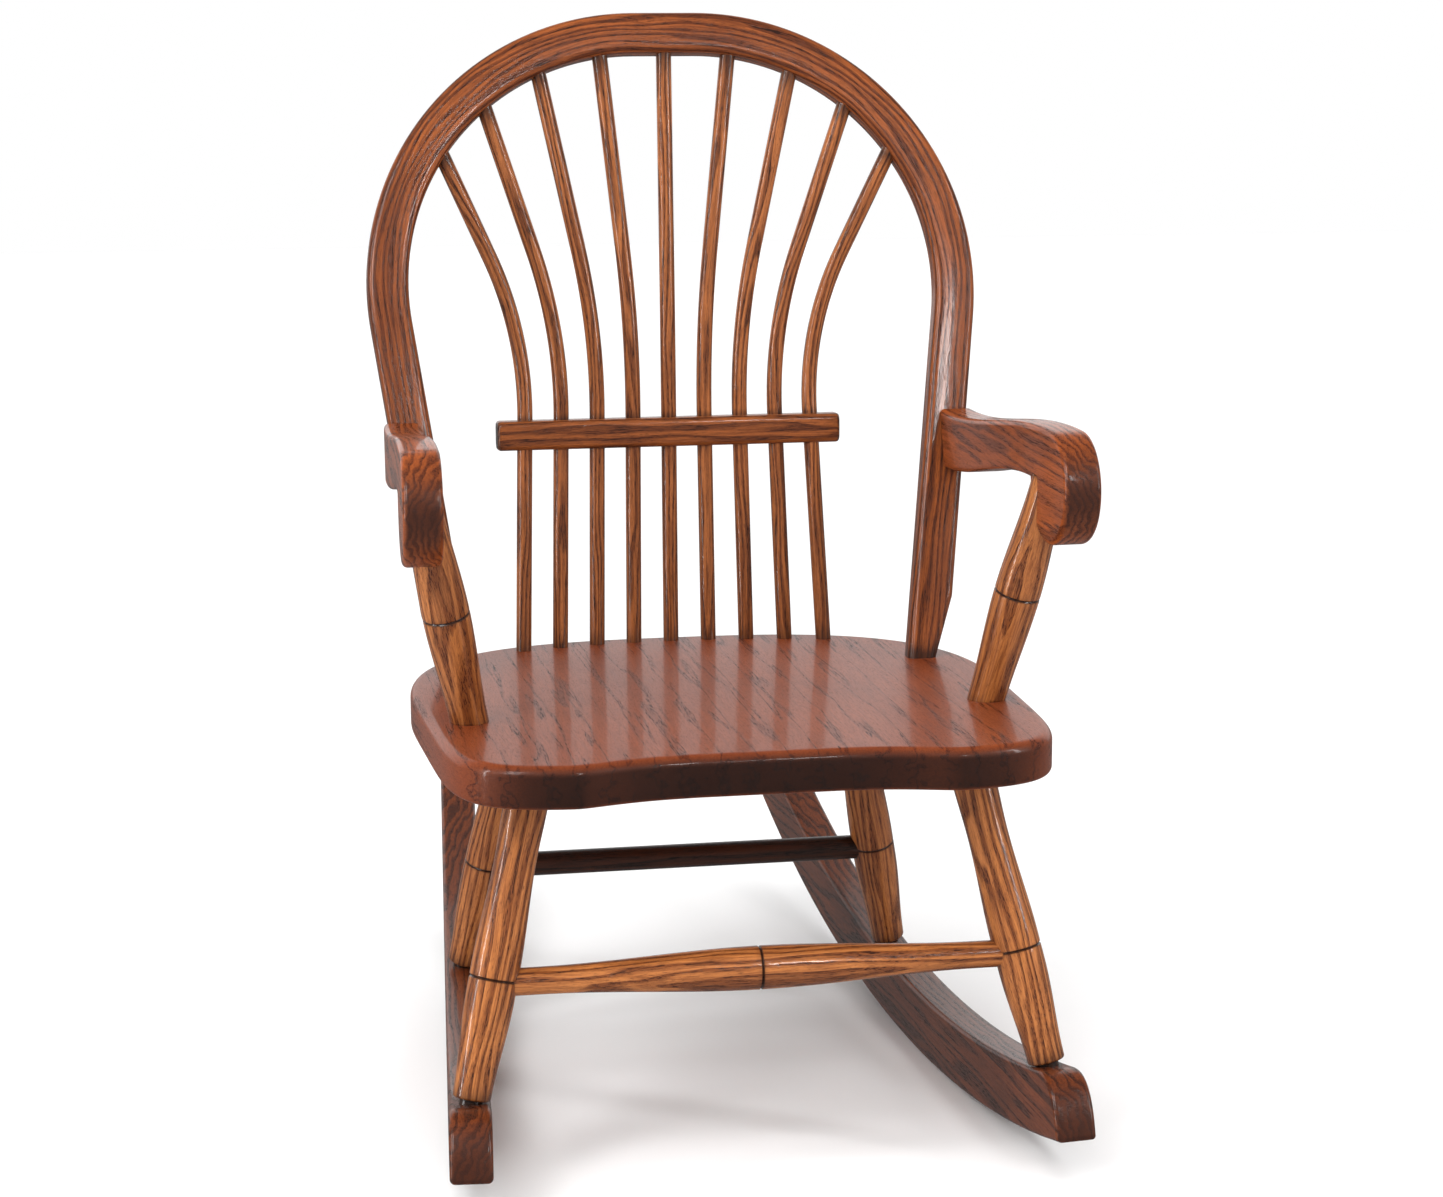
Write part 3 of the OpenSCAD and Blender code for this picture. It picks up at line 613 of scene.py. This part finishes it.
PORE = linear(32, 12, 5)
SOAKED = linear(28, 10, 5)
OAK_SEAT = oak("oak_seat", linear(138, 66, 32), linear(100, 42, 19), linear(36, 13, 6),
               linear(12, 4, 2), ring=19.0, plank=92.0, band=(0.0, 0.05, 0.12, 0.26), coat=0.32)
OAK_BENT = oak("oak_bent", linear(148, 78, 35), linear(80, 35, 13), PORE, SOAKED, 3.4,
               contrast=1.15, coat=0.5)
OAK_TURNED = oak("oak_turned", linear(184, 114, 60), linear(112, 57, 24), linear(44, 18, 7),
                 SOAKED, 4.2, contrast=1.2, coat=0.75)
OAK_ARM = oak("oak_arm", linear(168, 84, 36), linear(104, 46, 18), PORE, linear(44, 18, 8), 4.4,
              contrast=1.1, coat=0.55)
OAK_ROCKER = oak("oak_rocker", linear(116, 56, 26), linear(62, 27, 12), linear(26, 10, 5),
                 linear(48, 20, 9), 5.2, contrast=1.1, coat=0.5)
OAK_PLUG = oak("oak_plug", linear(120, 60, 30), linear(90, 42, 20), PORE, SOAKED, 3.0)
OAK_SPINDLE = oak("oak_spindle", linear(172, 102, 54), linear(98, 48, 20), linear(36, 15, 6),
                  SOAKED, 3.0, contrast=1.15, coat=0.75)
OAK_BAR = oak("oak_bar", linear(150, 82, 37), linear(88, 42, 17), linear(34, 13, 6),
              linear(20, 8, 4), 3.6, contrast=1.15, coat=0.6)
# The turned oak darkened: painted shade for the rear stretcher, which sits in shade under the seat.
OAK_PAINTED_SHADE = oak("oak_painted_shade", linear(66, 32, 16), linear(38, 17, 9), linear(18, 7, 4), SOAKED, 3.6,
               coat=0.5)


def steel(name):
    material = bpy.data.materials.new(name)
    n = Nodes(material)
    where = n.new("ShaderNodeTexCoord").outputs["Object"]
    rough = n.noise(n.vector("MULTIPLY", where, (900, 900, 900)), 2.0)
    shader = n.new("ShaderNodeBsdfPrincipled")
    n.put(shader.inputs["Base Color"], n.mix(rough, linear(150, 150, 150), linear(196, 196, 194)))
    shader.inputs["Metallic"].default_value = 1.0
    n.put(shader.inputs["Roughness"], n.step(rough, 0.3, 0.7, 0.28, 0.46))
    out = n.new("ShaderNodeOutputMaterial")
    n.put(out.inputs["Surface"], shader.outputs[0])
    return material


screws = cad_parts["arm_screws"]
screws.data.materials.clear()
screws.data.materials.append(steel("zinc_steel"))


# ---- seat ----

def power_point(a, b, power, angle):
    c, s = cosd(angle), sind(angle)
    return (a * math.copysign(abs(c) ** (2 / power), c), b * math.copysign(abs(s) ** (2 / power), s))


def scoop(x):
    if abs(x) >= seat_scoop_half:
        return 0
    return seat_scoop * (1 - (abs(x) / seat_scoop_half) ** scoop_power) ** 2


def seat_outline(count=360):
    points = []
    for j in range(count):
        angle = 360 * (j + 0.5) / count
        rear = angle < 180
        x, y = power_point(seat_w / 2, seat_rear if rear else seat_front,
                           seat_rear_power if rear else seat_front_power, angle)
        y = y if rear else max(y, -seat_front + scoop(x))
        points.append((x * (1 + tand(seat_taper) * y / (seat_w / 2)), y))
    return even(np.array(points), count)


def even(points, count):
    """The closed outline resampled at equal steps."""
    closed = np.concatenate([points, points[:1]])
    s = np.concatenate([[0], np.cumsum(np.linalg.norm(np.diff(closed, axis=0), axis=1))])
    at = np.linspace(0, s[-1], count + 1)[:-1]
    return np.stack([np.interp(at, s, closed[:, k]) for k in range(2)], 1)


def make_seat():
    rows = np.array(board(seat_outline(), -seat_t, 0, seat_edge_low, seat_edge_top, 9))
    x, y, z = rows[..., 0], rows[..., 1], rows[..., 2]
    world = np.stack([
        x, y * cosd(seat_tilt) + z * sind(seat_tilt),
        seat_h - y * sind(seat_tilt) + z * cosd(seat_tilt)], -1)
    grain = np.stack([y, x + 1000, z + 60], -1)
    piece("seat_board", "seat", tube(world, grain), (0, 1, 0), OAK_SEAT)


make_seat()


# ---- bow ----

ARC_STEPS, ON_THE_ARC = 48, 1000.0
BOW_PITH = (34.0, 18.0)


def make_bow():
    """The middle line runs up the left leg, over the top and down the right leg."""
    half = []
    foot = np.array([bow_foot_x, 0.0])
    up = np.array([sind(bow_flare), cosd(bow_flare)])
    for s in np.concatenate([[-bow_d / 2], np.linspace(-6, bow_taper + 10, 34),
                             np.linspace(bow_taper + 14, bow_leg, 22)]):
        half.append((foot + s * up, s))
    for k in range(1, ARC_STEPS + 1):
        a = math.radians(-bow_flare + (90 + bow_flare) * k / ARC_STEPS)
        on_arc = np.array([shoulder_x + bow_r * math.cos(a), shoulder_s + bow_r * math.sin(a)])
        half.append((on_arc, ON_THE_ARC))
    full = [(np.array([-p[0], p[1]]), s) for p, s in half] + half[::-1]
    pts = np.array([bow_point(p[0], p[1]) for p, _ in full])
    tangents = np.gradient(pts, axis=0)
    tangents[0] = pts[1] - pts[0]
    tangents[-1] = pts[-1] - pts[-2]

    def section_at(i):
        """The foot is carved on its outer edge only, so the section narrows from that side."""
        s = full[i][1]
        cut = bow_narrow * min(1.15, max(0.0, 1 - s / bow_taper))
        section = rounded_section(bow_w - cut, bow_d, bow_edge_r)
        section[:, 0] -= cut / 2
        return section

    skin, along = swept(pts, tangents, np.array([-1.0, 0, 0]), section_at, offset=BOW_PITH)
    around = len(section_at(0))
    stain_and_shade = np.repeat([0.85 * math.exp(-(max(0.0, s) / 5) ** 2) for _, s in full], around)
    piece("bow_stick", "bow", skin, along, OAK_BENT, stain_and_shade)


make_bow()


# ---- spindles and crossbar ----

def spindle_foot(i):
    x = (i - middle_spindle) * seat_pitch
    y = seat_rear - spindle_inset - spindle_row_r + math.sqrt(spindle_row_r ** 2 - x * x)
    return np.array([x, y, seat_top(y)])


def spindle_in_bar(i):
    return np.array([(i - middle_spindle) * bar_pitch, bar_y, bar_z])


def spindle_up(i):
    return unit(spindle_in_bar(i) - spindle_foot(i))


def make_spindle(i):
    foot, up = spindle_foot(i), spindle_up(i)
    start = spindle_in_bar(i) + (bar_h / 2 + 1) * up
    place = i - middle_spindle
    tip = bow_inner(abs(place) * top_pitch) * (-1 if place < 0 else 1, 1, 1)
    corner = start + spindle_bend * up
    out = unit(tip - corner)
    turn = math.acos(out @ up)
    radius = spindle_bend / math.tan(turn / 2)
    inward = unit(out - (out @ up) * up)
    straight = np.linspace(-1, np.linalg.norm(start - foot), 14)
    points = [foot - spindle_foot_l * up] + [foot + s * up for s in straight]
    for k in range(1, 31):
        a = turn * k / 30
        points.append(start + radius * (1 - math.cos(a)) * inward + radius * math.sin(a) * up)
    end = corner + spindle_bend * out
    points += [end + (tip - end) * k / 8 for k in range(1, 9)]
    points.append(tip + spindle_tip_l * out)
    points = np.array(points)
    tangents = np.gradient(points, axis=0)
    tangents[0] = up
    tangents[-1] = out
    angles = np.linspace(0, 2 * math.pi, ROUND_SEGMENTS + 1)[:-1]
    circle = np.stack([np.cos(angles), np.sin(angles)], 1) * spindle_d / 2
    skin, along = swept(points, tangents, np.array([1.0, 0, 0]), lambda k: circle)
    # stain gathers where the stick enters the seat, the bow and the crossbar
    at = skin[0]
    near_foot = np.abs((at - foot) @ up)
    near_tip = np.where(np.linalg.norm(at - tip, axis=1) < 25, np.abs((at - tip) @ out), np.inf)
    near_bar = np.abs(np.abs((at - spindle_in_bar(i)) @ up) - bar_h / 2)
    stain_and_shade = 0.75 * np.exp(-(near_foot / 2.5) ** 2)
    stain_and_shade = np.maximum(stain_and_shade, 0.8 * np.exp(-(near_tip / 3.0) ** 2))
    stain_and_shade = np.maximum(stain_and_shade, 0.7 * np.exp(-(near_bar / 2.0) ** 2))
    piece(f"spindle_stick_{i}", f"spindle_{i}", skin, along, OAK_SPINDLE, stain_and_shade)


for index in range(1, spindles + 1):
    make_spindle(index)


def make_crossbar():
    up = spindle_up(middle_spindle)
    ahead = np.cross(up, [1.0, 0, 0])
    half = bar_l / 2
    rounding = bar_end_r * (1 - np.cos(np.linspace(0.06, math.pi / 2, 9)))
    xs = np.concatenate([
        -half + rounding,
        np.linspace(-half + bar_end_r, half - bar_end_r, 30)[1:-1],
        half - rounding[::-1],
    ])
    centre = np.array([0, bar_y, bar_z])
    path = np.array([centre + (x, 0, 0) for x in xs])

    def section_at(i):
        near = half - abs(xs[i])
        cut = bar_end_r - math.sqrt(max(0, bar_end_r ** 2 - max(0, bar_end_r - near) ** 2))
        return rounded_section(bar_d - 2 * cut, bar_h - 1.2 * cut, bar_edge_r)

    skin, along = swept(path, np.tile([1.0, 0, 0], (len(xs), 1)), ahead, section_at)
    piece("crossbar_stick", "crossbar", skin, along, OAK_BAR)


make_crossbar()


# ---- arms and their posts ----

def arm_top_z(y):
    t = (arm_rear_y - y) / (arm_rear_y + scroll_y)
    return arm_rear_z + (scroll_z + scroll_r - arm_rear_z) * ease(t)


def arm_under_z(y):
    t = min(1, (arm_rear_y - y) / (arm_rear_y + scroll_y - scroll_r))
    return arm_rear_z - arm_rear_h + (scroll_z - arm_rear_z + arm_rear_h) * ease(t)


def arm_outline():
    points = []
    for t in np.linspace(0, 1, 60):
        y = arm_rear_y - (arm_rear_y + scroll_y) * t
        points.append((y, arm_top_z(y)))
    for a in np.linspace(90, 360, 90)[1:]:
        points.append((-scroll_y + scroll_r * cosd(a), scroll_z + scroll_r * sind(a)))
    for t in np.linspace(1, 0, 50)[1:]:
        y = arm_under_y - (arm_under_y + scroll_y - scroll_r) * t
        points.append((y, arm_under_z(y)))
    return even(np.array(points), 320)


def make_arm(side, word):
    rows = np.array(board(arm_outline(), -arm_t / 2, arm_t / 2, arm_edge_r, arm_edge_r, 7))
    y, z, x = rows[..., 0], rows[..., 1], rows[..., 2]
    world = np.stack([
        arm_x + x * cosd(arm_splay) - y * sind(arm_splay),
        x * sind(arm_splay) + y * cosd(arm_splay), z], -1)
    v0, w0 = random.uniform(-30, 30), random.uniform(35, 60)
    grain = np.stack([y, z - arm_rear_z + v0, x + w0], -1)
    piece(f"arm_board_{word}", f"arm_{word}", tube(world, grain), (-sind(arm_splay), cosd(arm_splay), 0),
          OAK_ARM, side=side)


seat_normal = np.array([0, sind(seat_tilt), cosd(seat_tilt)])


def to_seat_top(p, axis):
    return float((np.array([0, 0, seat_h]) - p) @ seat_normal / (axis @ seat_normal))


def to_seat_under(p, axis):
    at = np.array([0, 0, seat_h]) - seat_t * seat_normal
    return float((at - p) @ seat_normal / (axis @ seat_normal))


def make_post(side, word):
    """The turned surface runs on into the arm, so that no gap shows under the scroll."""
    length = np.linalg.norm(post_head - post_foot)
    stations = [(0, post_sizes[0]), (post_ring, post_sizes[1]), (length, post_sizes[2]),
                (length + post_head_l, post_sizes[2])]
    skin, axis, stain_and_shade = turned(post_foot, post_head, stations, post_ring,
                               (post_foot_tenon_d, post_foot_l), None, foot_trim=to_seat_top)
    piece(f"arm_post_turning_{word}", f"arm_post_{word}", skin, axis, OAK_TURNED, stain_and_shade, side)


# ---- legs, stretchers and rockers ----

def make_leg(row, side, name):
    foot, top = leg_ends(row)
    length = np.linalg.norm(top - foot)
    ring = np.linalg.norm(leg_ring_point(row) - foot) + ring_rise
    waist = ring + (length - ring) * waist_up_leg
    stations = [
        (0, leg_foot_d), (ring * ring_swell_from, leg_ring_d), (ring * ring_swell_to, leg_ring_d),
        (waist, leg_waist_d), (length + leg_top_d / 2, leg_top_d)]
    cut = length - leg_cut
    held = [(s, d) for s, d in stations if s < cut] + [(cut, 2 * station_radius(stations, cut))]
    skin, axis, stain_and_shade = turned(foot, foot + cut * unit(top - foot), held, ring,
                               (foot_tenon_d, foot_gap + leg_foot_l), (leg_tenon_d, leg_head_l),
                               foot_edge=foot_edge_r, head_trim=to_seat_under)
    piece(f"leg_turning_{name}", f"leg_{name}", skin, axis, OAK_TURNED, stain_and_shade, side)


def make_stretcher(row, mid_d, name):
    p = leg_ring_point(row)
    half = p[0] + stretcher_past
    first = leg_ring_d / 2 + stretcher_shoulder
    stations = [(0, stretcher_end_d), (first, stretcher_end_d), (half, mid_d),
                (2 * half - first, stretcher_end_d), (2 * half, stretcher_end_d)]
    foot, head = np.array([-half, p[1], p[2]]), np.array([half, p[1], p[2]])
    ring = half if row == FRONT else None
    skin, axis, stain_and_shade = turned(foot, head, stations, ring, None, None, steps=120)
    # the rear stretcher takes the darkened oak, painted shade under the seat
    piece(f"stretcher_turning_{name}", f"stretcher_{name}", skin, axis,
          OAK_TURNED if row == FRONT else OAK_PAINTED_SHADE, stain_and_shade)




def rocker_angle(reach):
    return math.asin(reach / rocker_r) - math.asin(rocker_round / rocker_r)


def rocker_outline():
    front = rocker_angle(rocker_front + rocker_low_y)
    rear = rocker_angle(rocker_rear - rocker_low_y)
    points = []
    for a in np.linspace(-front, rear, 150):
        points.append((rocker_r * math.sin(a), -rocker_r * math.cos(a)))
    for side, at in ((REAR, rear), (FRONT, front)):
        curve = []
        for j in range(33):
            x, h = power_point(rocker_round, rocker_h, end_power, 90 * j / 32)
            a, r = at + math.asin(x / rocker_r), rocker_r - h
            curve.append((side * r * math.sin(a), -r * math.cos(a)))
        if side == REAR:
            points += curve
            for a in np.linspace(rear, -front, 150)[1:-1]:
                r = rocker_r - rocker_h
                points.append((r * math.sin(a), -r * math.cos(a)))
        else:
            points += curve[::-1]
    return even(np.array(points), 620) + (rocker_low_y, rocker_r)


def make_rocker(side, word):
    rows = np.array(board(rocker_outline(), -rocker_t / 2, rocker_t / 2, rocker_edge_r, rocker_edge_r, 6))
    y, z, x = rows[..., 0], rows[..., 1], rows[..., 2]
    world = np.stack([
        rocker_x + x * cosd(rocker_toe) - y * sind(rocker_toe),
        x * sind(rocker_toe) + y * cosd(rocker_toe), z], -1)
    v0, w0 = random.uniform(-60, -30), random.uniform(30, 50)
    grain = np.stack([y, z + v0, x + w0], -1)
    piece(f"rocker_board_{word}", f"rocker_{word}", tube(world, grain),
          (-sind(rocker_toe), cosd(rocker_toe), 0.05), OAK_ROCKER, side=side)


def make_plugs():
    """Both plugs are one piece, as they are one node in the CAD model."""
    z = arm_rear_z - arm_rear_h * screw_down_arm
    entry = np.array([bow_x(z), bow_y(z), z]) + bow_d / 2 * bow_back
    side, other = axes_along(bow_back)
    angles = np.linspace(0, 2 * math.pi, 41)[:-1]
    verts, faces, grains = [], [], []
    for sign in (LEFT, RIGHT):
        rings, grain = [], []
        for s, cut in ((-plug_l, 0), (-0.3, 0), (-0.05, 0.3), (0, 0.8)):
            p = entry + s * bow_back + (plug_d / 2 - cut) * (
                np.cos(angles)[:, None] * side + np.sin(angles)[:, None] * other)
            rings.append(p * (sign, 1, 1))
            grain.append(np.stack([p[:, 2], p[:, 0], p[:, 1]], 1))
        v, f, g = tube(rings, grain)
        faces += [tuple(k + sum(len(q) for q in verts) for k in face) for face in f]
        verts.append(v)
        grains.append(g)
    piece("plug_pair", "screw_plugs", (np.concatenate(verts), faces, np.concatenate(grains)), (0, 0, 1),
          OAK_PLUG)


for side, word in ((LEFT, "left"), (RIGHT, "right")):
    make_arm(side, word)
    make_post(side, word)
    make_leg(FRONT, side, f"front_{word}")
    make_leg(REAR, side, f"rear_{word}")
    make_rocker(side, word)
make_stretcher(FRONT, stretcher_mid_d, "front")
make_stretcher(REAR, stretcher_end_d, "rear")
make_plugs()


# ---- stage, light and camera ----

def plain(name, colour, roughness):
    material = bpy.data.materials.new(name)
    n = Nodes(material)
    shader = n.new("ShaderNodeBsdfPrincipled")
    shader.inputs["Base Color"].default_value = colour
    shader.inputs["Roughness"].default_value = roughness
    shader.inputs["Specular IOR Level"].default_value = 0.2
    out = n.new("ShaderNodeOutputMaterial")
    n.put(out.inputs["Surface"], shader.outputs[0])
    return material


def make_stage():
    """A pale floor that ends at a plain lit backdrop, well behind the chair."""
    half, rear, tall = 9.0, 7.0, 6.0
    white = bpy.data.materials.new("lit_backdrop")
    n = Nodes(white)
    glow = n.new("ShaderNodeEmission")
    glow.inputs["Strength"].default_value = 1.0
    out = n.new("ShaderNodeOutputMaterial")
    n.put(out.inputs["Surface"], glow.outputs[0])
    for name, corners, material in (
        ("floor", [(-half, -half, 0), (half, -half, 0), (half, rear, 0), (-half, rear, 0)],
         plain("pale_floor", (0.93, 0.93, 0.93, 1), 0.8)),
        ("backdrop", [(-half, rear, 0), (half, rear, 0), (half, rear, tall), (-half, rear, tall)], white),
    ):
        mesh = bpy.data.meshes.new(name)
        mesh.from_pydata(corners, [], [(0, 1, 2, 3)])
        mesh.materials.append(material)
        sheet = bpy.data.objects.new(name, mesh)
        bpy.context.scene.collection.objects.link(sheet)
        sheet.visible_glossy = name == "backdrop"


make_stage()

AIM = Vector((0, -0.1514, 0.3394))


def direction(azimuth, elevation):
    """From the chair towards a place round it: azimuth 0 is straight in front."""
    return Vector((
        sind(azimuth) * cosd(elevation), -cosd(azimuth) * cosd(elevation), sind(elevation)))


def softbox(name, azimuth, elevation, distance, width, height, power):
    data = bpy.data.lights.new(name, "AREA")
    data.shape = "RECTANGLE"
    data.size, data.size_y, data.energy = width, height, power
    light = bpy.data.objects.new(name, data)
    light.location = AIM + distance * direction(azimuth, elevation)
    light.rotation_euler = (light.location - AIM).to_track_quat("Z", "Y").to_euler()
    bpy.context.scene.collection.objects.link(light)


softbox("key", -46, 34, 2.6, 0.7, 1.2, 28)
softbox("strip_left", -80, 10, 2.0, 0.14, 1.5, 15)
softbox("strip_right", 58, 20, 2.3, 0.18, 1.4, 19)
softbox("front", 16, 26, 2.6, 0.34, 0.26, 9)

sky_data = bpy.data.lights.new("ceiling", "SUN")
sky_data.angle, sky_data.energy = math.radians(70), 2.6
sky = bpy.data.objects.new("ceiling", sky_data)
sky.rotation_euler = direction(-20, 70).to_track_quat("Z", "Y").to_euler()
bpy.context.scene.collection.objects.link(sky)
sky.visible_glossy = False

world = bpy.data.worlds.new("studio")
bpy.context.scene.world = world
world.use_nodes = True
world.node_tree.nodes["Background"].inputs[0].default_value = (1, 1, 1, 1)
world.node_tree.nodes["Background"].inputs[1].default_value = 0.22

CAMERA_AZIMUTH, CAMERA_ELEVATION, CAMERA_ROLL = -10.383, 10.951, -0.127
CAMERA_DISTANCE = 1.8848
SENSOR, FOCAL_WIDTHS = 36.0, 2.0876

camera_data = bpy.data.cameras.new("camera")
camera_data.sensor_width = SENSOR
camera_data.lens = SENSOR * FOCAL_WIDTHS
camera_data.shift_x = -0.0018
camera_data.shift_y = -0.0055
camera = bpy.data.objects.new("camera", camera_data)
back = direction(CAMERA_AZIMUTH, CAMERA_ELEVATION)
camera.location = AIM + CAMERA_DISTANCE * back
turn = back.to_track_quat("Z", "Y").to_matrix() @ Matrix.Rotation(math.radians(CAMERA_ROLL), 3, "Z")
camera.rotation_euler = turn.to_euler()
bpy.context.scene.collection.objects.link(camera)
bpy.context.scene.camera = camera
bpy.context.scene.view_settings.view_transform = "Standard"
